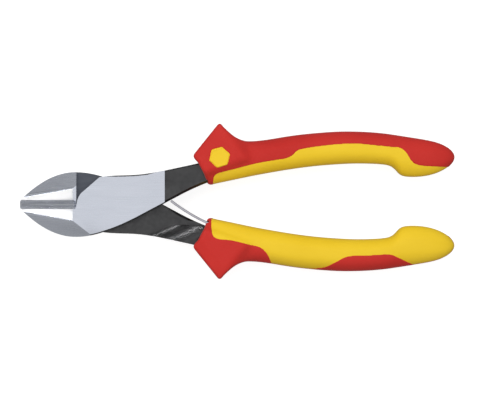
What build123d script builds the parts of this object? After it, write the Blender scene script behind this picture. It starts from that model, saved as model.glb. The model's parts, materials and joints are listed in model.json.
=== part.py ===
"""Insulated heavy-duty diagonal cutting pliers, 200 mm, with a leaf opening spring.

Frame: origin on the pivot axis in the flat rear face of the joint, +Z along the pivot towards
the front face, +X from the jaws to the handles, +Y towards the upper handle. Millimetres.

Both steel levers are one forging used twice: the second is turned over about the long axis.
The two handle sleeves are one moulding used twice in the same way.
"""
from build123d import *
import os

# ---------------------------------------------------------------- driving dimensions
HEAD_THICKNESS = 11.0        # across the two polished joint faces
ARM_SETBACK = 0.3            # the black arm lies this far under the polished face
LAP_GAP = 0.1                # running gap between the two lap faces
EDGE_GAP = 0.02              # from each closed cutting edge to the centre line

TIP_X = -39.4                # jaw tip
JAW_ROOT_X = -13.3           # shoulder at the inner end of the cutting edges
LAP_RADIUS = 13.1            # round end of a joint plate, inside the shoulder
POLISH_END_X = 27.1          # end of the ground face
ARM_END_X = 50.0             # where the arm narrows to its tang, inside the sleeve
REACH = 100.0                # size of cutters that reach right through a lever

PIVOT_RADIUS = 6.0
PIVOT_SEAT_DEPTH = 3.6       # blind seat in the front lever
PIVOT_HEAD_RADIUS = 7.6
PIVOT_HEAD_DEPTH = 1.6
PIVOT_PLAY = 0.04            # running clearance of the rear lever on the rivet

TANG_THICKNESS = 8.0
GUARD_HEIGHT = 21.0          # across the guard's two flat faces
GUARD_SLOPE = 0.9            # fall of the guard's face behind its crease
SLEEVE_LEAN = 1.45           # both sleeves sit this far towards +Y on their tangs
RED_WALL = 1.5               # thickness of the red outer layer
CORNER_SHARE = 0.42          # corner radius of a sleeve section, as a share of its smaller side
HEXAGON_RADIUS = 4.75        # to the corners
HEXAGON_DEPTH = 2.5
HEXAGON_PROUD = 0.3

SPRING_THICKNESS = 1.1
SPRING_WIDTH = 4.0
SPRING_BOTTOM = 0.4          # over the middle plane
SPRING_ROOT_BOTTOM = -2.2    # the riveted root is wider
SPRING_ROOT_X = 58.0
SPRING_PLAY = 0.2            # slot in the sleeve, around the leaf
RIVET_RADIUS = 1.2
RIVET_HEAD_RADIUS = 1.9
RIVET_HEAD_HEIGHT = 0.8
RIVET_GRIP = 4.0             # length in the tang
LEAF_OFF_TANG = 0.1

# ---------------------------------------------------------------- worked out from them
MID = HEAD_THICKNESS / 2
LAP_TOP = MID + LAP_GAP / 2              # the front lever's lap face
ARM_FRONT = HEAD_THICKNESS - ARM_SETBACK
MIDDLE = Plane.XY.offset(MID)
TURNED_OVER = Location((0, 0, HEAD_THICKNESS), (180, 0, 0))
LEANED = Location((0, SLEEVE_LEAN, 0))


def falling_plane(start, end, slope, half_height, side):
    """A plane through the line start-end on the front (side 1) or back (side -1) face. It falls
    towards the middle plane on the line's right-hand side, and its normal points outwards."""
    line_start = Vector(*start)
    line_end = Vector(*end)
    downhill = (line_end - line_start).cross(Vector(0, 0, 1)).normalized()
    normal = (Vector(0, 0, side) + downhill * slope).normalized()
    return Plane(origin=(line_start.X, line_start.Y, MID + side * half_height), z_dir=normal)


# ---------------------------------------------------------------- lever forging
TIP_CORNER = (TIP_X, -1.4)
JAW_CORNER = (-38.9, -2.3)
JAW_OUTLINE = [JAW_CORNER, (-33.5, -7.0), (-25.6, -12.0), (-17.7, -14.5), (-9.0, -14.5), (-0.5, -12.4)]
ARM_INNER = [(-0.5, -12.4), (9.2, -8.7), (18.3, -4.1), (27.1, 0.6), (36.7, 5.7), (ARM_END_X, 11.2)]
ARM_OUTER = [(-2.7, 12.5), (4.0, 13.2), (13.0, 13.5), (22.0, 14.6), (33.0, 16.8), (ARM_END_X, 20.2)]
LAP_CORNER = (-9.7, 6.4)
LAP_CORNER_RADIUS = 8.0

# The jaw's outer flank is a plane. It leaves the polished face along this line and falls to the tip.
FLANK_LINE = ((-14.8, -7.5), (-6.65, -13.8))
FLANK_SLOPE = 0.30

# Section of the hollow ground beside the cutting edge: widths from the edge, heights over the middle.
EDGE_HEIGHT = 0.12
BEVEL_WIDTH, BEVEL_HEIGHT = 2.06, 1.0
HOLLOW_WIDTH, HOLLOW_HEIGHT = 8.4, 6.1
HOLLOW_END_X = -14.9
BEVEL_CORNER_RADIUS = 1.3    # round inner corner of the cutting bevel, seen from the front
CUT_PAST = 1.0               # how far a cutter reaches past the steel it cuts

# Behind the lap face the arm swells to its full thickness. Its height rises along SWELL_DIRECTION.
SWELL_EDGE = [(18.6, 14.0), (27.8, 10.6), (33.5, 9.4), (40.0, 9.7), (ARM_END_X, 11.2)]
SWELL_DIRECTION = Vector(0.404, 0.915, 0)
SWELL_RISE = [(20.3, 0.05), (22.3, 0.7), (25.5, 3.4), (28.2, 4.9), (32.0, MID - ARM_SETBACK)]

TANG_INNER = [(ARM_END_X - 4, 11.1), (58.0, 14.0), (76.0, 17.43), (95.0, 19.9), (115.0, 21.1), (130.0, 20.6)]
TANG_OUTER = [(ARM_END_X - 4, 19.0), (58.0, 21.9), (76.0, 24.9), (95.0, 27.1), (115.0, 27.7), (130.0, 26.6)]

with BuildPart() as swell:
    # the swollen back of the arm: its outline, cut to a height that rises across the arm
    with BuildSketch(Plane.XY):
        with BuildLine():
            Spline(*SWELL_EDGE)
            Polyline(SWELL_EDGE[-1], (ARM_END_X, REACH), (SWELL_EDGE[0][0], REACH), SWELL_EDGE[0])
        make_face()
        with BuildLine():
            Spline(*ARM_OUTER)
            Polyline(ARM_OUTER[-1], (ARM_END_X, 0), (ARM_OUTER[0][0], 0), ARM_OUTER[0])
        make_face(mode=Mode.INTERSECT)
    extrude(amount=LAP_TOP)
    across_the_arm = Plane((0, 0, MID), x_dir=SWELL_DIRECTION, z_dir=SWELL_DIRECTION.cross(Vector(0, 0, -1)))
    with BuildSketch(across_the_arm):
        with BuildLine():
            Spline(*SWELL_RISE)
            Polyline(
                SWELL_RISE[-1],
                (REACH, SWELL_RISE[-1][1]),
                (REACH, -CUT_PAST),
                (SWELL_RISE[0][0], -CUT_PAST),
                SWELL_RISE[0],
            )
        make_face()
    extrude(amount=REACH, both=True, mode=Mode.INTERSECT)

with BuildPart() as bevel_run:
    # the cutting bevels run on past the hollow to the shoulder, and end in a round corner
    for side in (1, -1):
        with BuildSketch(Plane.YZ.offset(JAW_ROOT_X)):
            with BuildLine():
                Polyline(
                    (CUT_PAST, MID + side * EDGE_HEIGHT),
                    (0, MID + side * EDGE_HEIGHT),
                    (-BEVEL_WIDTH, MID + side * BEVEL_HEIGHT),
                    (-BEVEL_WIDTH, MID + side * HOLLOW_HEIGHT),
                    (CUT_PAST, MID + side * HOLLOW_HEIGHT),
                    close=True,
                )
            make_face()
        extrude(amount=HOLLOW_END_X - JAW_ROOT_X - CUT_PAST)
    with BuildSketch() as run_outline:
        with Locations((JAW_ROOT_X, -BEVEL_WIDTH)):
            Rectangle(
                JAW_ROOT_X - HOLLOW_END_X + CUT_PAST,
                BEVEL_WIDTH + CUT_PAST,
                align=(Align.MAX, Align.MIN),
            )
        inner_corners = run_outline.vertices().group_by(Axis.X)[-1]
        fillet(inner_corners.sort_by(Axis.Y)[0], radius=BEVEL_CORNER_RADIUS)
    extrude(amount=REACH, both=True, mode=Mode.INTERSECT)

with BuildPart() as forging:
    # joint plate, in the front half of the thickness, with the jaw and the arm it joins
    with BuildSketch(Plane.XY.offset(LAP_TOP)):
        with BuildLine():
            Spline(*JAW_OUTLINE)
            Spline(*ARM_INNER)
            Line(ARM_INNER[-1], ARM_OUTER[-1])
            Spline(*ARM_OUTER)
            Line(ARM_OUTER[0], LAP_CORNER)
            RadiusArc(LAP_CORNER, (-LAP_RADIUS, -EDGE_GAP), -LAP_CORNER_RADIUS)
            Polyline((-LAP_RADIUS, -EDGE_GAP), (TIP_X, -EDGE_GAP), TIP_CORNER, JAW_CORNER)
        make_face()
    extrude(amount=HEAD_THICKNESS - LAP_TOP)
    with BuildSketch(Plane.XY.offset(ARM_FRONT)):
        with Locations((POLISH_END_X, 0)):
            Rectangle(REACH, REACH, align=(Align.MIN, Align.CENTER))
    extrude(amount=CUT_PAST, mode=Mode.SUBTRACT)

    # jaw, through the whole thickness as far as the shoulder
    with BuildSketch(Plane.XY):
        with BuildLine():
            Spline(*JAW_OUTLINE)
            Line(JAW_OUTLINE[-1], (JAW_OUTLINE[-1][0], -EDGE_GAP))
            Polyline((JAW_OUTLINE[-1][0], -EDGE_GAP), (TIP_X, -EDGE_GAP), TIP_CORNER, JAW_CORNER)
        make_face()
        with Locations((JAW_ROOT_X, 0)):
            Rectangle(REACH, REACH, align=(Align.MIN, Align.CENTER), mode=Mode.SUBTRACT)
    extrude(amount=HEAD_THICKNESS)

    # flanks of the jaw, front and back
    for side in (1, -1):
        split(bisect_by=falling_plane(*FLANK_LINE, FLANK_SLOPE, MID, side), keep=Keep.BOTTOM)

    # hollow beside the cutting edge, front and back
    for side in (1, -1):
        with BuildSketch(Plane.YZ.offset(HOLLOW_END_X)):
            with BuildLine():
                Polyline(
                    (CUT_PAST, MID + side * EDGE_HEIGHT),
                    (0, MID + side * EDGE_HEIGHT),
                    (-BEVEL_WIDTH, MID + side * BEVEL_HEIGHT),
                    (-HOLLOW_WIDTH, MID + side * HOLLOW_HEIGHT),
                    (CUT_PAST, MID + side * HOLLOW_HEIGHT),
                    close=True,
                )
            make_face()
        extrude(amount=TIP_X - HOLLOW_END_X - CUT_PAST, mode=Mode.SUBTRACT)
    add(bevel_run.part, mode=Mode.SUBTRACT)

    # bevels along the arm's front edges
    arm_edges = [e for e in forging.edges() if abs(e.center().Z - ARM_FRONT) < 0.01 and e.length > 20]
    inner_edge, outer_edge = sorted(arm_edges, key=lambda e: e.center().Y)
    chamfer(inner_edge, length=1.3, length2=1.0)
    chamfer(outer_edge, length=0.6)

    # swollen back of the arm, and the tang that the sleeve is moulded on
    add(swell.part)
    with BuildSketch(Plane.XY.offset(MID - TANG_THICKNESS / 2)):
        with BuildLine():
            Spline(*TANG_INNER)
            Line(TANG_INNER[-1], TANG_OUTER[-1])
            Spline(*TANG_OUTER)
            Line(TANG_OUTER[0], TANG_INNER[0])
        make_face()
    extrude(amount=TANG_THICKNESS)

# ---------------------------------------------------------------- opening spring and its rivet
SPRING_LINE = [(29.9, 1.7), (33, -0.6), (40.8, -5.5), (45.9, -8.1), (53, -11.3), (62, -14.2), (70, -15.74)]
RIVET_PLANE = Plane(origin=(66.0, -15.65, MID + 1.1), x_dir=(0, 0, 1), z_dir=(0.191, 0.982, 0))
LEAF_TOP = LEAF_OFF_TANG + SPRING_THICKNESS


def draw_leaf(play):
    """Adds the leaf to the part that is being built, or with some play the slot around it."""
    for bottom, from_x in ((SPRING_BOTTOM, 0.0), (SPRING_ROOT_BOTTOM, SPRING_ROOT_X)):
        with BuildSketch(MIDDLE.offset(bottom - play)) as strip:
            with BuildLine():
                Spline(*SPRING_LINE)
            trace(line_width=SPRING_THICKNESS + 2 * play)
            with Locations((from_x - play, 0)):
                Rectangle(REACH, REACH, align=(Align.MIN, Align.CENTER), mode=Mode.INTERSECT)
        extrude(strip.sketch, amount=SPRING_BOTTOM + SPRING_WIDTH - bottom + 2 * play)


with BuildPart() as spring_rivet:
    with BuildSketch(RIVET_PLANE.offset(-RIVET_GRIP)):
        Circle(RIVET_RADIUS)
    extrude(amount=RIVET_GRIP + LEAF_TOP)
    with BuildSketch(RIVET_PLANE.offset(LEAF_TOP)):
        Circle(RIVET_HEAD_RADIUS)
    extrude(amount=RIVET_HEAD_HEIGHT)

with BuildPart() as opening_spring:
    draw_leaf(play=0)
    add(spring_rivet.part, mode=Mode.SUBTRACT)

with BuildPart() as spring_slot:
    draw_leaf(play=SPRING_PLAY)
    add(spring_rivet.part)

# ---------------------------------------------------------------- levers and pivot
with BuildPart() as front_lever:
    add(forging.part)
    with BuildSketch(Plane.XY.offset(LAP_TOP)):
        Circle(PIVOT_RADIUS)
    extrude(amount=PIVOT_SEAT_DEPTH, mode=Mode.SUBTRACT)

with BuildPart() as rear_lever:
    add(forging.part.moved(TURNED_OVER))
    with Locations(Plane(origin=(0, 0, 0), z_dir=(0, 0, -1))):
        CounterSinkHole(
            radius=PIVOT_RADIUS + PIVOT_PLAY,
            counter_sink_radius=PIVOT_HEAD_RADIUS + PIVOT_PLAY,
            depth=MID,
            counter_sink_angle=90,
        )
    add(spring_rivet.part, mode=Mode.SUBTRACT)

with BuildPart() as pivot_rivet:
    with BuildSketch(Plane.XZ):
        with BuildLine():
            Polyline(
                (0, 0),
                (PIVOT_HEAD_RADIUS, 0),
                (PIVOT_RADIUS, PIVOT_HEAD_DEPTH),
                (PIVOT_RADIUS, LAP_TOP + PIVOT_SEAT_DEPTH),
                (0, LAP_TOP + PIVOT_SEAT_DEPTH),
                close=True,
            )
        make_face()
    revolve(axis=Axis.Z)

# ---------------------------------------------------------------- handle sleeve, before its lean
# Sections of the grip: X, inner side, outer side, height along Z.
GRIP_SECTIONS = [
    (47.4, 8.0, 24.0, 15.6),
    (54.0, 8.6, 26.4, 16.1),
    (61.0, 10.1, 27.8, 16.4),
    (68.0, 11.6, 27.7, 16.4),
    (75.0, 12.9, 28.4, 16.4),
    (82.0, 14.1, 29.7, 16.4),
    (90.0, 15.25, 30.75, 16.4),
    (98.0, 16.1, 31.5, 16.4),
    (106.0, 16.65, 32.05, 16.4),
    (114.0, 16.9, 32.15, 16.4),
    (122.0, 16.8, 31.85, 16.2),
    (128.0, 16.0, 31.2, 15.9),
    (132.5, 13.2, 30.7, 15.6),
    (137.0, 10.95, 30.1, 15.1),
    (142.0, 10.7, 29.3, 14.5),
    (148.0, 11.5, 28.1, 13.2),
    (154.0, 13.4, 26.5, 11.0),
    (158.2, 16.4, 24.1, 7.6),
    (160.0, 18.8, 21.4, 4.0),
]
GUARD_FRONT = [(48.2, 7.2), (46.4, 7.9), (45.1, 12.4), (42.6, 17.6), (40.2, 21.0), (52.2, 35.4)]
GUARD_BACK = [(52.2, 35.4), (58.7, 30.2), (66.1, 27.4)]
CREASE_END = (63.4, 20.0)
# Section of the guard across the sleeve: distance from the centre line, half height.
GUARD_PROFILE = [(5.0, 6.5), (9.5, 8.6), (16.5, GUARD_HEIGHT / 2), (37.0, GUARD_HEIGHT / 2)]
HEXAGON_CENTRE = (52.2, 20.05)
HEXAGON_TURN = 17

# Where the yellow core shows: a narrow zone on the front and a wide one on the back.
NARROW_ZONE = [
    (52.0, 12.85), (66.0, 16.5), (79.0, 19.0), (85.0, 20.7), (91.5, 24.0), (113.0, 26.25),
    (132.5, 24.8), (140.5, 17.5), (148.0, 15.9), (162.0, 15.75),
]
WIDE_ZONE = [(52.3, 16.85), (62.4, 18.85), (70.5, 20.7), (74.4, 24.8), (76.5, 30.0), (77.0, 36.0)]
RED_PATCH = [(94.0, 33.5), (103.0, 27.9), (113.8, 24.5), (128.4, 24.1), (136.0, 26.3), (144.0, 33.0)]
ZONE_START_X = 49.3


def draw_grip(wall):
    """Adds the grip to the part that is being built, this far inside its outer surface."""
    sections = []
    for x, inner, outer, height in GRIP_SECTIONS:
        width = outer - inner - 2 * wall
        depth = height - 2 * wall
        centre = Plane(origin=(x, (inner + outer) / 2, MID), x_dir=(0, 1, 0), z_dir=(1, 0, 0))
        if depth > 2 * wall:
            with BuildSketch(centre) as section:
                RectangleRounded(width, depth, CORNER_SHARE * min(width, depth))
            sections.append(section.sketch)
    loft(sections)


with BuildPart() as guard:
    with BuildSketch(Plane.XY.offset(MID - GUARD_HEIGHT / 2)):
        with BuildLine():
            Polyline(*GUARD_FRONT)
            Spline(*GUARD_BACK)
            Polyline(GUARD_BACK[-1], (66.1, 20.0), (58.0, 10.5), GUARD_FRONT[0])
        make_face()
    extrude(amount=GUARD_HEIGHT)
    with BuildSketch(Plane.YZ.offset(35)):
        with BuildLine():
            upper = [(across, MID + height) for across, height in GUARD_PROFILE]
            lower = [(across, MID - height) for across, height in reversed(GUARD_PROFILE)]
            Polyline(*upper, *lower, close=True)
        make_face()
    extrude(amount=40, mode=Mode.INTERSECT)
    for side in (1, -1):
        split(
            bisect_by=falling_plane(GUARD_FRONT[-1], CREASE_END, -GUARD_SLOPE, GUARD_HEIGHT / 2, side),
            keep=Keep.BOTTOM,
        )

with BuildPart() as sleeve:
    draw_grip(wall=0)
    add(guard.part)

with BuildPart() as hidden_core:
    draw_grip(wall=RED_WALL)

with BuildPart() as yellow_core:
    with BuildSketch(MIDDLE):
        with BuildLine():
            Line((ZONE_START_X, 0), (ZONE_START_X, 10.3))
            TangentArc((ZONE_START_X, 10.3), NARROW_ZONE[0], tangent=(0, 1))
            Spline(*NARROW_ZONE)
            Polyline(NARROW_ZONE[-1], (162, 0), (ZONE_START_X, 0))
        make_face()
    extrude(amount=GUARD_HEIGHT)
    with BuildSketch(MIDDLE):
        with BuildLine():
            Line((ZONE_START_X, 0), (ZONE_START_X, 14.0))
            TangentArc((ZONE_START_X, 14.0), WIDE_ZONE[0], tangent=(0, 1))
            Spline(*WIDE_ZONE)
            Polyline(WIDE_ZONE[-1], (162, 36), (162, 0), (ZONE_START_X, 0))
        make_face()
        with BuildLine():
            Spline(*RED_PATCH)
            Polyline(RED_PATCH[-1], (144, 36), (94, 36), RED_PATCH[0])
        make_face(mode=Mode.SUBTRACT)
    extrude(amount=-GUARD_HEIGHT)
    add(sleeve.part, mode=Mode.INTERSECT)
    add(hidden_core.part)

with BuildPart() as hexagon:
    with BuildSketch(MIDDLE.offset(GUARD_HEIGHT / 2 - HEXAGON_DEPTH)):
        with Locations(HEXAGON_CENTRE):
            RegularPolygon(HEXAGON_RADIUS, side_count=6, rotation=HEXAGON_TURN)
    extrude(amount=HEXAGON_DEPTH + HEXAGON_PROUD)

# ---------------------------------------------------------------- the pieces in their places
os.makedirs("parts", exist_ok=True)
steel = {
    "front_lever": front_lever,
    "rear_lever": rear_lever,
    "pivot_rivet": pivot_rivet,
    "opening_spring": opening_spring,
    "spring_rivet": spring_rivet,
}
for name, piece in steel.items():
    piece.part.label = name
    export_step(piece.part, f"parts/{name}.step")

for half, place, lever in (("upper", LEANED, front_lever), ("lower", LEANED * TURNED_OVER, rear_lever)):
    with BuildPart() as hexagon_inlay:
        add(hexagon.part.moved(place))

    with BuildPart() as grip_core:
        add(yellow_core.part.moved(place))
        add(lever.part, mode=Mode.SUBTRACT)
        add(spring_slot.part, mode=Mode.SUBTRACT)

    with BuildPart() as grip_shell:
        add(sleeve.part.moved(place))
        add(yellow_core.part.moved(place), mode=Mode.SUBTRACT)
        add(hexagon_inlay.part, mode=Mode.SUBTRACT)
        add(lever.part, mode=Mode.SUBTRACT)
        add(spring_slot.part, mode=Mode.SUBTRACT)

    hexagon_inlay.part.label = f"{half}_hexagon_inlay"
    export_step(hexagon_inlay.part, f"parts/{half}_hexagon_inlay.step")
    grip_core.part.label = f"{half}_grip_core"
    export_step(grip_core.part, f"parts/{half}_grip_core.step")
    grip_shell.part.label = f"{half}_grip_shell"
    export_step(grip_shell.part, f"parts/{half}_grip_shell.step")
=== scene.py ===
# %% [markdown]
# # Insulated diagonal cutters with an opening spring
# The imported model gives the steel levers, the pivot and the place of everything else. Here Blender adds
# the moulded handles, the hexagons, the leaf spring, every finish, the light and the camera.
# Sizes are in metres. The pivot is the Z axis, the jaws point along -X and the handles along +X.

# %% Load the model
import json
import math

import bmesh
import bpy
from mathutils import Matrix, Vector, geometry

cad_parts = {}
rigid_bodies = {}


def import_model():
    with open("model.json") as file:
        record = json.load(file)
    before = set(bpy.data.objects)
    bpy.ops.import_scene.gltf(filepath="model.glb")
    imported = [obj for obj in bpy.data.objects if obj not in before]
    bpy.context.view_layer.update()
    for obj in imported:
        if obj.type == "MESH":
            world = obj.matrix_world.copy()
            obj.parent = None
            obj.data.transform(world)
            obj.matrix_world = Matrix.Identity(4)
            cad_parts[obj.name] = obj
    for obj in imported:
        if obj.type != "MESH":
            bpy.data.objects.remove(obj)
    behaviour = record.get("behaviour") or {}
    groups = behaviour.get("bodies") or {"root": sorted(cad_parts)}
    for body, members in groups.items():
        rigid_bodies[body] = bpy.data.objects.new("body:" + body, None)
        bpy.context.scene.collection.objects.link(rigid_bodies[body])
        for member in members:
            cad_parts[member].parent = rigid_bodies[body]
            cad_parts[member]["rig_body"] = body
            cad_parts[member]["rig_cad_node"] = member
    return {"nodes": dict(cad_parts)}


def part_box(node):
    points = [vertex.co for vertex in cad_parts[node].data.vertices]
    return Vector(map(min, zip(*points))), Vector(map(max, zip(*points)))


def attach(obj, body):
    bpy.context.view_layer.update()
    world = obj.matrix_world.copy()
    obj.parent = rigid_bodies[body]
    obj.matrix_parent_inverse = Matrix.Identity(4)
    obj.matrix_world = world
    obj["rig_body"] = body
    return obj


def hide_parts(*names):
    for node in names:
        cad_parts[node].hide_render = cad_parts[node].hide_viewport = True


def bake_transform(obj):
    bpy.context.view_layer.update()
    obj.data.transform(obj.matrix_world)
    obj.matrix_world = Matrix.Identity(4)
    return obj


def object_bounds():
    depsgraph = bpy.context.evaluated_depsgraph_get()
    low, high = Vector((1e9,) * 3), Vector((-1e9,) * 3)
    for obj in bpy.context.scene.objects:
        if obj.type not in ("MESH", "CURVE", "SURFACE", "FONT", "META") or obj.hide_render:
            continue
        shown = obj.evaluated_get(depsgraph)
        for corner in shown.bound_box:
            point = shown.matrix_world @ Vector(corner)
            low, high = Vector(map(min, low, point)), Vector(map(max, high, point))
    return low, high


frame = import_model()
cad_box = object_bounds()
nodes = frame["nodes"]
MM = 0.001
print("CAD box in mm:", [[round(c / MM, 2) for c in corner] for corner in cad_box])

# %% [markdown]
# ## Places
# The middle plane of the tool lies half-way through the joint. Both handles come out of one mould: the
# lower one is the upper one turned over about a line in the middle plane. That line lies a little above
# the pivot, because the sleeves lean towards +Y. So a handle is modelled once, in the upper place.
# `spot` turns a place on the upper handle, in millimetres, into a point of the scene.

# %% Places read from the frame
joint_low, joint_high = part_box("front_lever")
upper_low, upper_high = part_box("upper_grip_shell")
lower_low, lower_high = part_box("lower_grip_shell")
MIDDLE = (joint_low.z + joint_high.z) / 2
LEAN = (upper_high.y + lower_low.y) / 2
GUARD_HALF = (upper_high.z - upper_low.z) / 2 / MM


def spot(x, across, up=0.0):
    """A point from X, the distance from the handles' centre line, and the height over the middle plane."""
    return Vector((x * MM, across * MM + LEAN, up * MM + MIDDLE))


print("middle plane", MIDDLE, "lean", LEAN, "guard half height in mm", GUARD_HALF)

# %% [markdown]
# ## A few helpers
# Blender's operators act on whatever is selected, and the loaded nodes arrive selected. So each step
# starts with everything deselected, and edges or faces are then selected by their place.

# %% Helpers


def deselect():
    if bpy.context.object and bpy.context.object.mode == "EDIT":
        bpy.ops.object.mode_set(mode="OBJECT")
    bpy.ops.object.select_all(action="DESELECT")


def pick(piece):
    deselect()
    bpy.context.view_layer.objects.active = piece
    piece.select_set(True)


def edit(piece, select_mode="VERT", action="SELECT"):
    """Goes into edit mode on one piece."""
    pick(piece)
    bpy.ops.object.mode_set(mode="EDIT")
    bpy.ops.mesh.select_mode(type=select_mode)
    bpy.ops.mesh.select_all(action=action)


def modify(piece, kind, **settings):
    """Adds one modifier with its settings and applies it."""
    pick(piece)
    modifier = piece.modifiers.new(kind.lower(), kind)
    for name, value in settings.items():
        setattr(modifier, name, value)
    bpy.ops.object.modifier_apply(modifier=modifier.name)


def duplicate(piece, name):
    """A copy with a mesh of its own."""
    copy = piece.copy()
    copy.data = piece.data.copy()
    copy.name = name
    copy.data.name = name
    bpy.context.scene.collection.objects.link(copy)
    return copy


def cut(piece, cutter, keep_cutter=False):
    """Cuts one piece out of another, exactly."""
    modify(piece, "BOOLEAN", object=cutter, operation="DIFFERENCE", solver="EXACT")
    if not keep_cutter:
        bpy.data.objects.remove(cutter)


def settle(piece):
    """Moves the object's place, turn and scale into its mesh."""
    pick(piece)
    bpy.ops.object.transform_apply(location=True, rotation=True, scale=True)


def face_outwards(piece):
    edit(piece)
    bpy.ops.mesh.normals_make_consistent(inside=False)
    deselect()


# %% [markdown]
# ## The grip
# A moulded grip is a long, soft, swelling form. By hand it is drawn by extruding one ring of points
# along the handle, making each new ring as wide and as high as the grip is there, and smoothing the cage
# with a Subdivision Surface. The ring starts as a circle, and its diagonals are pushed out a little,
# because the real section is between a circle and a rounded rectangle.

# %% Grip: rings along the handle
# X, inner side, outer side, height along Z, in mm
GRIP_RINGS = [
    (46.5, 8.6, 23.0, 14.2),
    (46.9, 7.9, 23.7, 15.1),
    (48.0, 7.6, 24.1, 15.6),
    (50.5, 7.9, 25.0, 15.9),
    (54.0, 8.6, 26.4, 16.1),
    (61.0, 10.1, 27.6, 16.4),
    (68.0, 11.6, 27.6, 16.4),
    (75.0, 12.9, 28.4, 16.4),
    (82.0, 14.1, 29.7, 16.4),
    (90.0, 15.3, 30.8, 16.4),
    (98.0, 16.2, 31.5, 16.4),
    (106.0, 16.8, 32.1, 16.4),
    (114.0, 17.2, 32.1, 16.4),
    (121.0, 17.1, 31.8, 16.2),
    (126.5, 16.8, 31.3, 16.0),
    (129.8, 16.3, 30.9, 15.9),
    (131.6, 15.3, 30.6, 15.7),
    (133.0, 13.8, 30.4, 15.6),
    (134.4, 12.1, 30.2, 15.4),
    (136.3, 11.2, 29.9, 15.2),
    (139.5, 10.9, 29.4, 14.8),
    (144.0, 11.0, 28.7, 14.0),
    (148.5, 11.7, 27.9, 13.0),
    (152.5, 13.0, 26.9, 11.3),
    (156.0, 14.8, 25.3, 9.2),
    (158.6, 17.0, 23.4, 6.2),
    (160.0, 19.4, 21.2, 2.6),
]
RING_POINTS = 16
DIAGONAL_PUSH = 1.07
# How far from a diagonal, in degrees, a point is still pushed out
DIAGONAL_WIDTH = 30

x, inner, outer, height = GRIP_RINGS[0]
centre = spot(x, (inner + outer) / 2)
wide, high = (outer - inner) / 2, height / 2
deselect()
bpy.ops.mesh.primitive_circle_add(
    vertices=RING_POINTS, radius=MM, fill_type="NGON", location=centre, rotation=(0, math.pi / 2, 0)
)
grip = bpy.context.object
grip.name = "grip_blank"
settle(grip)
edit(grip)
bpy.ops.transform.resize(value=(1, wide, high), center_override=centre)
cage = bmesh.from_edit_mesh(grip.data)
for point in cage.verts:
    turn = math.degrees(math.atan2((point.co.z - centre.z) / high, (point.co.y - centre.y) / wide))
    point.select = abs(turn % 90 - 45) < DIAGONAL_WIDTH
bpy.ops.transform.resize(value=(1, DIAGONAL_PUSH, DIAGONAL_PUSH), center_override=centre)
bpy.ops.mesh.select_mode(type="FACE")
bpy.ops.mesh.select_all(action="SELECT")
for x, inner, outer, height in GRIP_RINGS[1:]:
    next_centre = spot(x, (inner + outer) / 2)
    next_wide, next_high = (outer - inner) / 2, height / 2
    bpy.ops.mesh.extrude_region_move(TRANSFORM_OT_translate={"value": next_centre - centre})
    bpy.ops.transform.resize(value=(1, next_wide / wide, next_high / high), center_override=next_centre)
    centre, wide, high = next_centre, next_wide, next_high
modify(grip, "SUBSURF", levels=3, render_levels=3)
face_outwards(grip)
print("grip blank:", len(grip.data.polygons), "faces")

# %% [markdown]
# ## The guard
# In front of the grip stands the finger guard: a flat block with a pointed outline, whose faces fall
# away behind a crease and on the side of the fingers. Its outline is drawn by extruding a single point
# from corner to corner. The outline is filled, extruded to its height, and bisected with three slanted
# planes on each side. Bevels then give the rounded edges of a moulding. They don't clamp their overlap,
# because the remesh that follows cleans up where two of them meet.

# %% Guard: outline and slanted faces
GUARD_FRONT = [(49.5, 7.6), (46.6, 7.5), (45.1, 12.4), (42.5, 17.4), (39.7, 20.6), (52.2, 36.15)]
GUARD_BACK = [
    (54.0, 33.9), (55.8, 32.2), (57.6, 30.6), (59.4, 29.3), (61.2, 28.4), (63.0, 27.8), (65.0, 27.4),
    (67.0, 27.2), (70.0, 27.2), (74.0, 27.7),
]
GUARD_INSIDE = [(74.0, 20.0), (68.0, 12.5), (58.0, 10.0)]
# A line on each face, and how steeply the face falls behind it
CREASE = ((52.0, 35.4), (64.0, 20.0), 0.9)
ROLL_OFF = ((66.0, 19.8), (50.0, 14.6), 1.35)
CROWN = ((44.0, 17.5), (56.1, 32.4), 0.22)
GUARD_ROUNDING = 1.4
CORNER_ANGLE = math.radians(18)


def draw_outline(name, points, up):
    """A flat face drawn by extruding one vertex from point to point."""
    deselect()
    bpy.ops.mesh.primitive_plane_add(size=MM, location=spot(*points[0], up))
    piece = bpy.context.object
    piece.name = name
    settle(piece)
    edit(piece)
    bpy.ops.mesh.merge(type="CENTER")
    bpy.ops.mesh.select_all(action="SELECT")
    for start, end in zip(points, points[1:]):
        step = spot(*end) - spot(*start)
        bpy.ops.mesh.extrude_vertices_move(TRANSFORM_OT_translate={"value": step})
    bpy.ops.mesh.select_all(action="SELECT")
    bpy.ops.mesh.edge_face_add()
    deselect()
    return piece


guard = draw_outline("guard_blank", GUARD_FRONT + GUARD_BACK + GUARD_INSIDE, -GUARD_HALF)
edit(guard)
bpy.ops.mesh.extrude_region_move(TRANSFORM_OT_translate={"value": (0, 0, 2 * GUARD_HALF * MM)})
for side in (1, -1):
    for start, end, fall in (CREASE, ROLL_OFF, CROWN):
        along = spot(*end) - spot(*start)
        downhill = Vector((-along.y, along.x, 0)).normalized()
        bpy.ops.mesh.select_all(action="SELECT")
        bpy.ops.mesh.bisect(
            plane_co=spot(*start, side * GUARD_HALF),
            plane_no=(Vector((0, 0, side)) + downhill * fall).normalized(),
            use_fill=True,
            clear_outer=True,
        )
face_outwards(guard)
modify(
    guard, "BEVEL", width=GUARD_ROUNDING * MM, segments=4, limit_method="ANGLE",
    angle_limit=CORNER_ANGLE, use_clamp_overlap=False,
)
print("guard blank:", len(guard.data.polygons), "faces")

# %% [markdown]
# ## One moulding
# Voxel remesh melts the grip and the guard into one skin of even quads, much as a mould maker blends two
# forms. Smoothing then turns the hard meeting line into a fillet, most of all in the scoop behind the
# crease, which is picked with a vertex group.

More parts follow.
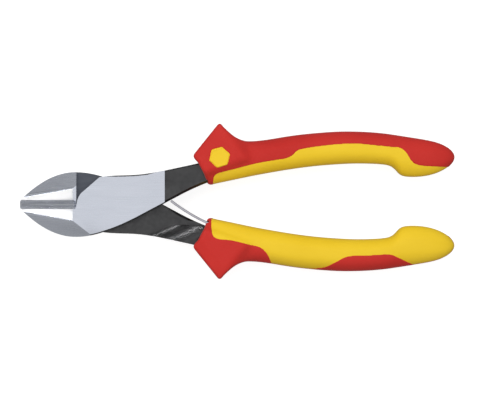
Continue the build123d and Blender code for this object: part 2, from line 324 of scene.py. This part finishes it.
# %% Sleeve blank
BLANK_VOXEL = 0.4
# Where the two forms meet, how far the smoothing reaches from there, and its rounds
MEETING_LINE = [(67.5, 28.0), (69.0, 24.5), (70.0, 20.0), (67.0, 15.5), (61.0, 13.0), (54.0, 11.0)]
BLEND_REACH = 6.5
BLEND_ROUNDS = 110
SKIN_ROUNDS = 6

pick(grip)
guard.select_set(True)
bpy.ops.object.join()
sleeve = grip
sleeve.name = "sleeve_blank"
modify(sleeve, "REMESH", mode="VOXEL", voxel_size=BLANK_VOXEL * MM)
blend = sleeve.vertex_groups.new(name="blend")
for point in sleeve.data.vertices:
    here = Vector((point.co.x / MM, (point.co.y - LEAN) / MM))
    distance = BLEND_REACH
    for start, end in zip(MEETING_LINE, MEETING_LINE[1:]):
        nearest, share = geometry.intersect_point_line(here, Vector(start), Vector(end))
        nearest = Vector(start).lerp(Vector(end), min(max(share, 0), 1))
        distance = min(distance, (here - nearest).length)
    if distance < BLEND_REACH:
        blend.add([point.index], (1 - distance / BLEND_REACH) ** 0.5, "REPLACE")
modify(sleeve, "SMOOTH", factor=0.5, iterations=BLEND_ROUNDS, vertex_group="blend")
modify(sleeve, "SMOOTH", factor=0.5, iterations=SKIN_ROUNDS)
print("sleeve blank:", len(sleeve.data.polygons), "faces")

# %% [markdown]
# ## Two colours
# The real handle is moulded in two shots: a hard yellow core, and a softer red skin that leaves the core
# open in a narrow zone on one face and a wide zone on the other. The zones are smooth curves, so each is
# drawn as a Bezier curve through a few points, filled, and extruded into a cutter.

# %% Cutters for the yellow zones
NARROW_ZONE = [
    (49.4, 4.0), (49.4, 10.0), (49.9, 11.6), (51.1, 12.6), (53.0, 13.2), (59.0, 14.7), (66.0, 16.5),
    (73.0, 18.0), (79.0, 19.0), (82.5, 19.6), (85.3, 20.9), (87.8, 23.1), (91.0, 24.0), (99.0, 25.2),
    (107.0, 26.0), (115.0, 26.2), (121.0, 25.7), (125.7, 25.2), (130.7, 24.7), (133.7, 24.5),
    (135.6, 23.7), (137.2, 22.2), (138.7, 19.8), (140.2, 17.8), (142.2, 16.7), (147.1, 16.0),
    (152.4, 15.8), (162.0, 15.5), (162.0, 4.0),
]
WIDE_ZONE = [
    (48.7, 4.0), (48.7, 13.4), (49.2, 15.3), (50.2, 16.4), (51.7, 17.0), (54.0, 17.3), (57.0, 17.6),
    (60.0, 18.2), (63.0, 18.95), (66.0, 19.7), (68.8, 20.25), (71.0, 21.1), (72.9, 22.6), (74.2, 24.4),
    (75.3, 26.7), (76.3, 29.5), (77.4, 38.0), (91.0, 38.0), (92.5, 31.6), (96.5, 30.6), (100.2, 30.0),
    (104.3, 28.1), (107.0, 26.6), (109.4, 25.4), (111.8, 24.85), (119.6, 24.6), (125.0, 24.3),
    (128.8, 24.1), (130.9, 24.35), (132.8, 25.2), (136.5, 26.9), (140.5, 28.8), (145.0, 31.2),
    (149.0, 38.0), (166.0, 38.0), (166.0, 4.0),
]
ZONE_CORNERS = {
    (49.4, 4.0), (162.0, 15.5), (162.0, 4.0), (48.7, 4.0), (77.4, 38.0), (91.0, 38.0), (149.0, 38.0),
    (166.0, 38.0), (166.0, 4.0),
}
ZONE_HEIGHT = 14.0
ZONE_OVERLAP = 0.05
CURVE_STEPS = 8


def zone_cutter(name, points, side):
    """A prism on the outline of a smooth closed curve, from the middle plane to the front or the back."""
    curve = bpy.data.curves.new(name, "CURVE")
    curve.dimensions = "3D"
    curve.resolution_u = CURVE_STEPS
    spline = curve.splines.new("BEZIER")
    spline.bezier_points.add(len(points) - 1)
    spline.use_cyclic_u = True
    for knot, point in zip(spline.bezier_points, points):
        knot.co = spot(*point, -side * ZONE_OVERLAP)
        knot.handle_left_type = knot.handle_right_type = "VECTOR" if point in ZONE_CORNERS else "AUTO"
    cutter = bpy.data.objects.new(name, curve)
    bpy.context.scene.collection.objects.link(cutter)
    pick(cutter)
    bpy.ops.object.convert(target="MESH")
    edit(cutter)
    bpy.ops.mesh.edge_face_add()
    bpy.ops.mesh.extrude_region_move(TRANSFORM_OT_translate={"value": (0, 0, side * ZONE_HEIGHT * MM)})
    face_outwards(cutter)
    return cutter


narrow = zone_cutter("narrow_zone", NARROW_ZONE, 1)
broad = zone_cutter("wide_zone", WIDE_ZONE, -1)
print("narrow zone", len(NARROW_ZONE), "points, wide zone", len(WIDE_ZONE), "points")

# %% [markdown]
# ## Skin and core
# The red skin is the blank without the two zones, which a Boolean cuts away. The yellow core is the
# whole blank, drawn in by a hair with Displace. So the red stands proud of it, and the core goes on
# under the skin, as in the real moulding, where no gap can open between the colours.

# %% Split the blank into the red skin and the yellow core
YELLOW_DRAWN_IN = 0.18

red_blank = duplicate(sleeve, "red_blank")
cut(red_blank, narrow)
cut(red_blank, broad)
yellow_blank = sleeve
yellow_blank.name = "yellow_blank"
modify(yellow_blank, "DISPLACE", strength=-YELLOW_DRAWN_IN * MM, mid_level=0)
print("red", len(red_blank.data.polygons), "yellow", len(yellow_blank.data.polygons), "faces")

# %% [markdown]
# ## The hexagon
# A yellow hexagon sits in a pocket of each guard. It starts as a six-sided cylinder. Its face is inset
# twice and the middle is pushed in a touch, which leaves a rim, and Bevel rounds the rim's edges. The
# pocket is a slightly larger one, cut out of the red.

# %% Hexagon inlay and its pocket
inlay_low, inlay_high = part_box("upper_hexagon_inlay")
HEXAGON_CENTRE = (inlay_low + inlay_high) / 2
HEXAGON_RADIUS = 4.75
HEXAGON_TURN = math.radians(17)
POCKET_PLAY = 0.12
RIM = 0.55
RIM_SLOPE = 0.12
RIM_ROUNDING = 0.22
FACE_DEPTH = 0.08


def hexagon(name, radius, low, high):
    deselect()
    bpy.ops.mesh.primitive_cylinder_add(
        vertices=6,
        radius=radius * MM,
        depth=high - low,
        location=(HEXAGON_CENTRE.x, HEXAGON_CENTRE.y, (low + high) / 2),
        rotation=(0, 0, HEXAGON_TURN + math.pi / 6),
    )
    piece = bpy.context.object
    piece.name = name
    settle(piece)
    return piece


pocket = hexagon("pocket", HEXAGON_RADIUS + POCKET_PLAY, inlay_low.z, inlay_high.z + MM)
cut(red_blank, pocket)

inlay = hexagon("upper_hexagon", HEXAGON_RADIUS, inlay_low.z, inlay_high.z)
edit(inlay, "FACE", "DESELECT")
for face in bmesh.from_edit_mesh(inlay.data).faces:
    face.select = face.normal.z > 0.9
bpy.ops.mesh.inset(thickness=RIM * MM)
bpy.ops.mesh.inset(thickness=RIM_SLOPE * MM)
bpy.ops.transform.translate(value=(0, 0, -FACE_DEPTH * MM))
deselect()
modify(
    inlay, "BEVEL", width=RIM_ROUNDING * MM, segments=3, limit_method="ANGLE", angle_limit=math.radians(40)
)
pick(inlay)
bpy.ops.object.shade_smooth_by_angle(angle=math.radians(30))
print("hexagon:", len(inlay.data.polygons), "faces")

# %% [markdown]
# ## Both handles
# The lower handle is a copy turned over about the line in the middle plane. Only the lower one has a slot
# for the leaf spring. Each part is then remeshed finely and smoothed, which rounds its cut edges by a few
# tenths of a millimetre, as on real mouldings.

# %% Turn over, slot and finish
FINE_VOXEL = 0.32
# The middle of the leaf, from its free end to its root, in mm
SPRING_LINE = [
    (29.9, 1.7), (33.0, -0.6), (40.8, -5.5), (45.9, -8.1), (53.0, -11.3), (62.0, -14.2), (70.0, -15.74),
]
spring_low, spring_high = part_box("opening_spring")
LEAF_WIDTH = 4.0
LEAF_THICKNESS = 1.1
LEAF_MIDDLE = spring_high.z - LEAF_WIDTH / 2 * MM
SLOT_LENGTH = 14.0
SLOT_PLAY = (0.7, 0.8)


def turned_over(piece, name):
    copy = duplicate(piece, name)
    copy.location = (0, 2 * LEAN, 2 * MIDDLE)
    copy.rotation_euler = (math.pi, 0, 0)
    settle(copy)
    return copy


def finish_moulding(piece):
    modify(piece, "REMESH", mode="VOXEL", voxel_size=FINE_VOXEL * MM)
    modify(piece, "SMOOTH", factor=0.5, iterations=3)
    pick(piece)
    bpy.ops.object.shade_smooth()
    print(piece.name, len(piece.data.polygons), "quads")


lower_red = turned_over(red_blank, "lower_red_skin")
mouth, deep = Vector((*SPRING_LINE[3], 0)) * MM, Vector((*SPRING_LINE[4], 0)) * MM
deselect()
bpy.ops.mesh.primitive_cube_add(
    size=1,
    location=((mouth + deep) / 2).to_tuple()[:2] + (LEAF_MIDDLE,),
    rotation=(0, 0, math.atan2(deep.y - mouth.y, deep.x - mouth.x)),
    scale=(SLOT_LENGTH * MM, (LEAF_THICKNESS + SLOT_PLAY[0]) * MM, (LEAF_WIDTH + SLOT_PLAY[1]) * MM),
)
slot_cutter = bpy.context.object
settle(slot_cutter)
cut(lower_red, slot_cutter, keep_cutter=True)
lower_yellow = turned_over(yellow_blank, "lower_yellow_core")
cut(lower_yellow, slot_cutter)

upper_red, upper_yellow = red_blank, yellow_blank
upper_red.name = "upper_red_skin"
upper_yellow.name = "upper_yellow_core"
lower_inlay = turned_over(inlay, "lower_hexagon")
for moulding in (upper_red, lower_red, upper_yellow, lower_yellow):
    finish_moulding(moulding)

# %% [markdown]
# ## The levers
# The two forgings are right as they come from the model, but their edges are perfectly sharp, and real
# edges are not. So each is copied, and the copy takes the place of the model's own node, which is hidden.
# Limited Dissolve merges its triangles back into flat faces, so that the edges between them can be picked
# and bevelled.

# %% Copy of a forging
SAME_POINT = 0.002
SAME_FACE = math.radians(0.6)


def copy_forging(node, name):
    piece = duplicate(nodes[node], name)
    piece.parent = None
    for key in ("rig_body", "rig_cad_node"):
        del piece[key]
    piece.data.materials.clear()
    edit(piece)
    bpy.ops.mesh.customdata_custom_splitnormals_clear()
    bpy.ops.mesh.remove_doubles(threshold=SAME_POINT * MM)
    bpy.ops.mesh.mark_sharp(clear=True)
    bpy.ops.mesh.dissolve_limited(angle_limit=SAME_FACE)
    deselect()
    print(name, "starts with", len(piece.data.polygons), "faces")
    return piece


# %% [markdown]
# ## Which edges are broken
# Five kinds of edge are told apart. The ridge between a hollow and its flank is ground round. The joint
# plate has a small chamfer, the edge where the swell of the arm starts a wide one, and the tips of the
# jaws are rounded. Every other corner only loses its sharpness, but for the cutting edges. A test gets
# the middle of an edge in mm, the slopes of its two faces (0 for a wall, 1 for a flat one, smaller first),
# the turn between the faces in degrees, and the hand of the lever: 1 in front, and -1 for the rear one,
# which is turned over.

# %% Tests for edges
POLISH_END = 27.1
JAW_ROOT = -13.3
CUTTING_EDGE = 0.3
PLAIN_EDGE = 0.16


def on_hollow(middle, slopes, turn, hand):
    return 0.76 < slopes[0] < 0.80 and 0.945 < slopes[1] < 0.97 and middle.x < JAW_ROOT


def on_plate_edge(middle, slopes, turn, hand):
    across = middle.y * hand
    outside = slopes[0] < 0.05 and slopes[1] > 0.99 and abs(middle.z - MIDDLE / MM) > 5.3
    front_part = -10.5 < middle.x < POLISH_END - 0.2 and across < 1
    return outside and (front_part or (1.5 < middle.x < 18.5 and across > 8))


def on_arm_edge(middle, slopes, turn, hand):
    inner = middle.y * hand < 0.46 * middle.x - 8.8
    at_lap = slopes[0] < 0.05 and slopes[1] > 0.99 and abs(middle.z - MIDDLE / MM) < 0.2
    return at_lap and inner and 27.5 < middle.x < 39.5


def at_tip(middle, slopes, turn, hand):
    return middle.x < -39.3 and slopes[1] < 0.05 and abs(middle.y) > 1


def on_any_edge(middle, slopes, turn, hand):
    return turn > 40 and not (middle.x < JAW_ROOT and abs(middle.y) < CUTTING_EDGE)


# A test, and the width and segments of its bevel
PICKED_BEVELS = [(on_hollow, 0.6, 4), (on_plate_edge, 0.55, 2), (on_arm_edge, 1.1, 2), (at_tip, 0.45, 3)]

# %% [markdown]
# ## Bevel, close and shade
# The picked edges are bevelled first and the rest after them. In between, the two cutting edges are
# scaled onto the centre line, because closed cutters let no light through. Two bisects draw the lines
# where a finish ends. Weighted normals keep the ground faces even next to their bevels, and the large
# faces of the jaws and the plate are shaded flat, as a grinding wheel leaves them.

# %% Levers with broken edges
EDGES_APART = 0.02
SOFT_TURN = math.radians(14)
GROUND_FLAT = 20.0


def bevel_where(piece, hand, test, width, segments, clamp=False):
    """Bevels the edges that pass a test."""
    edit(piece, "EDGE", "DESELECT")
    mesh = bmesh.from_edit_mesh(piece.data)
    picked = 0
    for edge in mesh.edges:
        if len(edge.link_faces) == 2:
            middle = (edge.verts[0].co + edge.verts[1].co) / 2 / MM
            slopes = sorted(abs(face.normal.z) for face in edge.link_faces)
            if test(middle, slopes, math.degrees(edge.calc_face_angle()), hand):
                edge.select = True
                picked += 1
    bmesh.update_edit_mesh(piece.data)
    bpy.ops.mesh.bevel(offset=width * MM, segments=segments, affect="EDGES", clamp_overlap=clamp)
    deselect()
    print(piece.name, "bevelled", picked, "edges by", width)


def close_cutting_edge(piece):
    edit(piece, "VERT", "DESELECT")
    jaw = bmesh.from_edit_mesh(piece.data)
    for point in jaw.verts:
        point.select = point.co.x < JAW_ROOT * MM and abs(point.co.y) < CUTTING_EDGE * MM
    jaw.select_flush(True)
    bpy.ops.transform.resize(value=(1, EDGES_APART, 1), center_override=(0, 0, MIDDLE))
    deselect()


def shade_lever(piece):
    pick(piece)
    bpy.ops.object.shade_smooth_by_angle(angle=SOFT_TURN)
    modify(piece, "WEIGHTED_NORMAL", keep_sharp=True)
    edit(piece, "FACE", "DESELECT")
    for face in bmesh.from_edit_mesh(piece.data).faces:
        face.select = face.calc_area() > GROUND_FLAT * MM * MM and face.calc_center_median().x < 0
    bpy.ops.mesh.faces_shade_flat()
    deselect()


def lever(node, name, hand):
    piece = copy_forging(node, name)
    for test, width, segments in PICKED_BEVELS:
        bevel_where(piece, hand, test, width, segments)
    close_cutting_edge(piece)
    bevel_where(piece, hand, on_any_edge, PLAIN_EDGE, 2, clamp=True)
    for place, across in (((POLISH_END * MM, 0, 0), (1, 0, 0)), ((0, 0, 0), (0, 1, 0))):
        edit(piece)
        bpy.ops.mesh.bisect(plane_co=place, plane_no=across)
    shade_lever(piece)
    print(name, len(piece.data.polygons), "faces")
    return piece


front = lever("front_lever", "front_half_forging", 1)
rear = lever("rear_lever", "rear_half_forging", -1)

# %% [markdown]
# ## The leaf spring
# A flat strip of spring steel leaves the lower handle and bears on the upper lever. It is a Bezier curve
# with a width, made a mesh and given its thickness by Solidify. The hidden root is wider, where the rivet
# holds it.

# %% Leaf spring
LEAF_ROUNDING = 0.18


def strip(name, points, middle, width):
    curve = bpy.data.curves.new(name, "CURVE")
    curve.dimensions = "3D"
    curve.resolution_u = 10
    curve.extrude = width / 2 * MM
    spline = curve.splines.new("BEZIER")
    spline.bezier_points.add(len(points) - 1)
    for knot, (x, y) in zip(spline.bezier_points, points):
        knot.co = (x * MM, y * MM, middle)
        knot.handle_left_type = knot.handle_right_type = "AUTO"
    piece = bpy.data.objects.new(name, curve)
    bpy.context.scene.collection.objects.link(piece)
    pick(piece)
    bpy.ops.object.convert(target="MESH")
    modify(piece, "SOLIDIFY", thickness=LEAF_THICKNESS * MM, offset=0)
    face_outwards(piece)
    modify(
        piece, "BEVEL", width=LEAF_ROUNDING * MM, segments=2, limit_method="ANGLE",
        angle_limit=math.radians(40),
    )
    return piece


leaf = strip("opening_leaf", SPRING_LINE, LEAF_MIDDLE, LEAF_WIDTH)
root_height = spring_high.z - spring_low.z
root = strip("leaf_root", SPRING_LINE[5:], (spring_high.z + spring_low.z) / 2, root_height / MM)
pick(leaf)
root.select_set(True)
bpy.ops.object.join()
pick(leaf)
bpy.ops.object.shade_smooth_by_angle(angle=math.radians(35))
print("leaf spring:", len(leaf.data.polygons), "faces")

# %% [markdown]
# ## Finishes
# Every finish is made of nodes on Object coordinates, so it needs no unwrapping and keeps its real scale:
# here one unit is one metre. A small helper makes a material with its constants on the shader, a second
# adds a noise pattern, and a third lets a pattern swing a socket between two values.

# %% Material helpers


def material(name, color, roughness, metallic=0.0, **sockets):
    """A Principled material. Its tree, shader and coordinates are kept together."""
    finish = bpy.data.materials.new(name)
    finish.use_nodes = True
    shader = finish.node_tree.nodes["Principled BSDF"]
    shader.inputs["Base Color"].default_value = (*color, 1)
    shader.inputs["Roughness"].default_value = roughness
    shader.inputs["Metallic"].default_value = metallic
    for socket, value in sockets.items():
        shader.inputs[socket.replace("_", " ")].default_value = value
    finish.node_tree.nodes.new("ShaderNodeTexCoord").name = "coordinates"
    print("finish", name)
    return finish


def noise(finish, scale, detail=2.0):
    """A noise pattern, with a scale for each axis, as a socket that swings around one half."""
    tree = finish.node_tree
    mapping = tree.nodes.new("ShaderNodeMapping")
    mapping.inputs["Scale"].default_value = scale
    pattern = tree.nodes.new("ShaderNodeTexNoise")
    pattern.inputs["Scale"].default_value = 1.0
    pattern.inputs["Detail"].default_value = detail
    tree.links.new(tree.nodes["coordinates"].outputs["Object"], mapping.inputs["Vector"])
    tree.links.new(mapping.outputs["Vector"], pattern.inputs["Vector"])
    return pattern.outputs["Fac"]


def swing(finish, pattern, socket, low, high):
    """Lets a pattern swing a number on the shader from low to high."""
    tree = finish.node_tree
    spread = tree.nodes.new("ShaderNodeMapRange")
    spread.inputs["From Min"].default_value = 0.3
    spread.inputs["From Max"].default_value = 0.7
    spread.inputs["To Min"].default_value = low
    spread.inputs["To Max"].default_value = high
    tree.links.new(pattern, spread.inputs["Value"])
    tree.links.new(spread.outputs["Result"], tree.nodes["Principled BSDF"].inputs[socket])


def tint(finish, pattern, dark, light):
    """Lets a pattern swing the base color between two colors."""
    tree = finish.node_tree
    ramp = tree.nodes.new("ShaderNodeValToRGB")
    ramp.color_ramp.elements[0].position = 0.3
    ramp.color_ramp.elements[0].color = (*dark, 1)
    ramp.color_ramp.elements[1].position = 0.7
    ramp.color_ramp.elements[1].color = (*light, 1)
    tree.links.new(pattern, ramp.inputs["Fac"])
    tree.links.new(ramp.outputs["Color"], tree.nodes["Principled BSDF"].inputs["Base Color"])


def grain(finish, pattern, strength, depth):
    """Uses a pattern as a bump, depth in millimetres."""
    tree = finish.node_tree
    bump = tree.nodes.new("ShaderNodeBump")
    bump.inputs["Strength"].default_value = strength
    bump.inputs["Distance"].default_value = depth * MM
    tree.links.new(pattern, bump.inputs["Height"])
    tree.links.new(bump.outputs["Normal"], tree.nodes["Principled BSDF"].inputs["Normal"])


# %% [markdown]
# ## Ground steel
# The joint plates and the jaws are ground along the tool. The wheel leaves fine lines along X, so the
# noise is stretched: long in X, very short in Y, and long again in Z, so that a slanted flank has the
# same lines as the plate. A second, cloudy noise makes the faint blotches of a ground face.

# %% Ground steel
ground = material("ground_steel", (0.6, 0.63, 0.7), 0.26, metallic=1.0)
lines = noise(ground, (60, 4200, 200), detail=2)
clouds = noise(ground, (60, 220, 100), detail=4)
tint(ground, clouds, (0.6, 0.63, 0.705), (0.635, 0.665, 0.74))
swing(ground, lines, "Roughness", 0.23, 0.31)
grain(ground, lines, 0.05, 0.01)

# %% [markdown]
# ## Satin hollows with a painted reflection
# The hollows beside the cutting edges are ground with a finer wheel and left satin, so they catch light
# from all sides and look almost white. A real metal can't scatter light that widely in this simple model,
# so the satin is only partly metallic, and its near-white matt share is a painted reflection of the bright
# surroundings.

# %% Satin hollows with a painted reflection
# The near-white base color is a painted reflection of the surroundings, not a color of the steel.
satin_painted_reflection = material("satin_grind_painted_reflection", (0.93, 0.935, 0.95), 0.45, metallic=0.4)
swing(satin_painted_reflection, noise(satin_painted_reflection, (70, 4200, 4200)), "Roughness", 0.4, 0.5)

# %% [markdown]
# ## Black oxide
# The arms keep the black finish of the forging: dark, dense and a little glossy. It is metal under a thin
# dark skin, so it stays metallic with a very dark color, and a fine grain breaks the highlights.
# The lap faces near the joint, where the levers slide on each other, are bare steel a little bluer than
# the black; their dark slate tone is painted shade and dark reflection of that recessed face.

# %% Black oxide, and lap steel with painted shade
oxide = material("black_oxide", (0.075, 0.075, 0.077), 0.36, metallic=1.0)
tint(oxide, noise(oxide, (160, 160, 160), detail=4), (0.066, 0.066, 0.068), (0.086, 0.086, 0.088))
swing(oxide, noise(oxide, (700, 700, 700)), "Roughness", 0.3, 0.44)
grain(oxide, noise(oxide, (3500, 3500, 3500)), 0.2, 0.01)

# The dark slate tone of the lap faces is painted shade and dark reflection.
lap_painted_shade = material("lap_painted_shade", (0.115, 0.125, 0.15), 0.38, metallic=1.0)
tint(lap_painted_shade, noise(lap_painted_shade, (120, 500, 500), detail=3), (0.105, 0.115, 0.14), (0.125, 0.135, 0.16))
grain(lap_painted_shade, noise(lap_painted_shade, (3000, 3000, 3000)), 0.15, 0.01)

# %% [markdown]
# ## Red and yellow plastic
# The red skin is a soft elastomer with a fine satin grain. It scatters a little grey light at grazing
# angles, which the Sheen sockets give. The yellow core is harder and a little smoother.

# %% Plastics
red = material(
    "red_overmould", (0.58, 0.028, 0.022), 0.55, Specular_IOR_Level=0.25, Sheen_Weight=0.3,
    Sheen_Roughness=0.3, Sheen_Tint=(0.8, 0.75, 0.75, 1),
)
tint(red, noise(red, (60, 60, 60)), (0.56, 0.025, 0.02), (0.61, 0.031, 0.024))
swing(red, noise(red, (900, 900, 900)), "Roughness", 0.5, 0.62)
grain(red, noise(red, (5000, 5000, 5000)), 0.3, 0.02)

yellow = material("yellow_core", (0.9, 0.61, 0.022), 0.42, Specular_IOR_Level=0.25)
tint(yellow, noise(yellow, (60, 60, 60)), (0.88, 0.595, 0.02), (0.92, 0.63, 0.026))
swing(yellow, noise(yellow, (900, 900, 900)), "Roughness", 0.38, 0.48)
grain(yellow, noise(yellow, (5000, 5000, 5000)), 0.2, 0.015)

# %% [markdown]
# ## Spring and rivet steel
# The leaf is blue-grey rolled strip, with lines along its length. The rivet's head is turned, so its fine
# rings come from a wave pattern around the pivot, which is the origin.

# %% Spring and rivet steel
leaf_steel = material("leaf_steel", (0.5, 0.49, 0.54), 0.3, metallic=1.0)
tint(leaf_steel, noise(leaf_steel, (150, 900, 3000)), (0.47, 0.46, 0.51), (0.54, 0.53, 0.58))
swing(leaf_steel, noise(leaf_steel, (200, 200, 4000)), "Roughness", 0.24, 0.38)

turned = material("turned_steel", (0.5, 0.51, 0.53), 0.3, metallic=1.0)
rings = turned.node_tree.nodes.new("ShaderNodeTexWave")
rings.wave_type = "RINGS"
rings.rings_direction = "Z"
rings.inputs["Scale"].default_value = 700
rings.inputs["Distortion"].default_value = 0.6
turned.node_tree.links.new(
    turned.node_tree.nodes["coordinates"].outputs["Object"], rings.inputs["Vector"]
)
grain(turned, rings.outputs["Fac"], 0.3, 0.02)
tint(turned, noise(turned, (400, 400, 400)), (0.46, 0.47, 0.49), (0.54, 0.55, 0.57))

# %% [markdown]
# ## Giving out the finishes
# A lever has four finishes on one mesh, in four material slots, and each face is told which slot it
# uses. By hand the faces would be selected and assigned. Here the place and the slope of a face tell:
# behind the end of the polish it is black, the lap side takes the painted slate shade near the joint and
# is black on the arm, the walls and edge chamfers of the plate are black, which draws a thin dark line
# along the plate's edges, the hollows take the satin with its painted reflection, and the rest is ground.

# %% Give out the finishes
GROUND, OXIDE, LAP_PAINTED_SHADE, SATIN_PAINTED_REFLECTION = range(4)
LAP_END = 8
PLATE_START = -10.5
for piece, hand in ((front, 1), (rear, -1)):
    for finish in (ground, oxide, lap_painted_shade, satin_painted_reflection):
        piece.data.materials.append(finish)
    for face in piece.data.polygons:
        x = face.center.x / MM
        up = (face.center.z - MIDDLE) / MM * hand
        on_jaw = x < JAW_ROOT + 0.3
        steep = abs(face.normal.z) < 0.95
        in_hollow = 0.75 < abs(face.normal.z) < 0.81
        if x > POLISH_END:
            face.material_index = OXIDE
        elif not on_jaw and up < 0.3:
            # Near the joint the lap side takes the painted slate shade.
            face.material_index = LAP_PAINTED_SHADE if x < LAP_END and face.center.y * hand < 0 else OXIDE
        # The plate's steep walls and edge chamfers take the black finish, which draws a thin dark line along
        # the plate's edges.
        elif x > PLATE_START and steep:
            face.material_index = OXIDE
        # The hollows take the satin with its painted reflection.
        elif on_jaw and in_hollow:
            face.material_index = SATIN_PAINTED_REFLECTION
        else:
            face.material_index = GROUND
for piece in (upper_red, lower_red):
    piece.data.materials.append(red)
for piece in (upper_yellow, lower_yellow, inlay, lower_inlay):
    piece.data.materials.append(yellow)
leaf.data.materials.append(leaf_steel)
for name, finish in (("pivot_rivet", turned), ("spring_rivet", leaf_steel)):
    nodes[name].data.materials.clear()
    nodes[name].data.materials.append(finish)
print("levers have", len(front.data.materials), "finishes")

# %% [markdown]
# ## What moves with what
# The front half and the rear half turn about the rivet. Every piece rides on one of them and takes the
# place of a node of the model, which is hidden; each row also lists the slot of its material. The model's
# spring is hidden too, and the leaf spring rides on neither half.

# %% Bodies, nodes and slots
for piece, body, node, slot in (
    (front, "front_half", "front_lever", "lever_steel"),
    (rear, "rear_half", "rear_lever", "lever_steel"),
    (upper_red, "front_half", "upper_grip_shell", "red_overmould"),
    (lower_red, "rear_half", "lower_grip_shell", "red_overmould"),
    (upper_yellow, "front_half", "upper_grip_core", "yellow_plastic"),
    (lower_yellow, "rear_half", "lower_grip_core", "yellow_plastic"),
    (inlay, "front_half", "upper_hexagon_inlay", "yellow_plastic"),
    (lower_inlay, "rear_half", "lower_hexagon_inlay", "yellow_plastic"),
):
    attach(piece, body)
    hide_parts(node)
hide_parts("opening_spring")
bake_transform(leaf)
print("the leaf bends between", SPRING_LINE[3], "and", SPRING_LINE[0])

# %% [markdown]
# ## Camera
# The tool is seen from straight above, from far away and through a long lens, so that both ends are seen
# without perspective. The distance follows from the lens and from the width that the view should cover.

# %% Camera
FRAME_WIDTH = 223.8 * MM
LENS = 200
camera_data = bpy.data.cameras.new("camera")
camera_data.lens = LENS
camera = bpy.data.objects.new("camera", camera_data)
bpy.context.scene.collection.objects.link(camera)
camera_data.clip_end = 10
camera.location = (63.3 * MM, 1.15 * MM, MIDDLE + FRAME_WIDTH * LENS / camera_data.sensor_width)
bpy.context.scene.camera = camera
print("camera height", round(camera.location.z, 3))

# %% [markdown]
# ## Table
# The tool lies on a plain white table that is evenly lit from below, like a light table in a studio, so it
# glows a little and the tool throws hardly any shadow. The table stays out of the tool's reflections.

# %% Table
deselect()
bpy.ops.mesh.primitive_plane_add(size=4, location=(0.06, 0, cad_box[0].z - 0.0002))
table = bpy.context.object
table.name = "table"
table.visible_diffuse = False
table.visible_glossy = False
table_finish = material(
    "table_white", (0.4, 0.4, 0.4), 0.9, Emission_Color=(1, 1, 1, 1), Emission_Strength=0.85
)
table.data.materials.append(table_finish)

# %% [markdown]
# ## Sky
# Polished steel shows what is around it. So the sky of this studio is a soft dome: bright overhead, darker
# in a ring around that, and dark below the table's edge. Each stop is a height on the dome, from -1 straight
# down to 1 straight up, with its brightness.

# %% Sky
DOME = [
    (-1.0, 0.2), (-0.05, 0.2), (0.1, 0.45), (0.45, 0.42), (0.68, 0.28), (0.85, 0.47), (0.955, 0.95), (1.0, 1.0),
]
bpy.context.scene.view_settings.view_transform = "Standard"
world = bpy.data.worlds.new("studio")
bpy.context.scene.world = world
world.use_nodes = True
sky = world.node_tree
direction = sky.nodes.new("ShaderNodeTexCoord")
axes = sky.nodes.new("ShaderNodeSeparateXYZ")
height = sky.nodes.new("ShaderNodeMapRange")
height.inputs["From Min"].default_value = -1
dome = sky.nodes.new("ShaderNodeValToRGB")
for index, (up, brightness) in enumerate(DOME):
    if index > 1:
        dome.color_ramp.elements.new(0.5)
for element, (up, brightness) in zip(dome.color_ramp.elements, DOME):
    element.position = (up + 1) / 2
    element.color = (brightness, brightness, brightness, 1)
sky.links.new(direction.outputs["Generated"], axes.inputs["Vector"])
sky.links.new(axes.outputs["Z"], height.inputs["Value"])
sky.links.new(height.outputs["Result"], dome.inputs["Fac"])
sky.links.new(dome.outputs["Color"], sky.nodes["Background"].inputs["Color"])
print("sky has", len(DOME), "stops")

# %% [markdown]
# ## Lamps
# A large key lamp lights the plastic from behind the upper handle, and a weak warm one fills in from the
# other side. Neither shows in the steel. Two narrow strips low beside the jaws light the satin hollows
# from across the tool. A small, tightly spread lamp puts a highlight on the swell of the arms, and shows
# in reflections only.

# %% Lamps


def softbox(name, place, aim, size, power, color=(1, 1, 1)):
    """A rectangular lamp at a place, turned to a point."""
    lamp_data = bpy.data.lights.new(name, "AREA")
    lamp_data.shape = "RECTANGLE"
    lamp_data.size, lamp_data.size_y = size
    lamp_data.energy = power
    lamp_data.color = color
    lamp = bpy.data.objects.new(name, lamp_data)
    bpy.context.scene.collection.objects.link(lamp)
    lamp.location = place
    lamp.rotation_euler = (Vector(aim) - Vector(place)).to_track_quat("-Z", "Y").to_euler()
    print(name, power, "W at", place)
    return lamp


TOOL = (0.06, 0, 0)
JAWS = (-0.025, 0, 0.005)
ARMS = (0.035, -0.012, 0.005)
key = softbox("key", (-0.1, 0.6, 1.0), TOOL, (0.9, 0.9), 8.0)
key.visible_glossy = False
warm_fill = softbox("warm_fill", (0.1, -0.9, 0.5), TOOL, (0.9, 0.5), 1.2, color=(1, 0.82, 0.62))
warm_fill.visible_glossy = False
for name, y in (("strip_low", -0.25), ("strip_high", 0.25)):
    strip_light = softbox(name, (-0.025, y, 0.1), JAWS, (0.12, 0.05), 0.0046)
    strip_light.data.spread = math.radians(30)
arm_glow = softbox("arm_glow", (-0.12, 0.42, 0.3), ARMS, (0.06, 0.06), 0.002)
arm_glow.data.spread = math.radians(8)
arm_glow.visible_diffuse = False
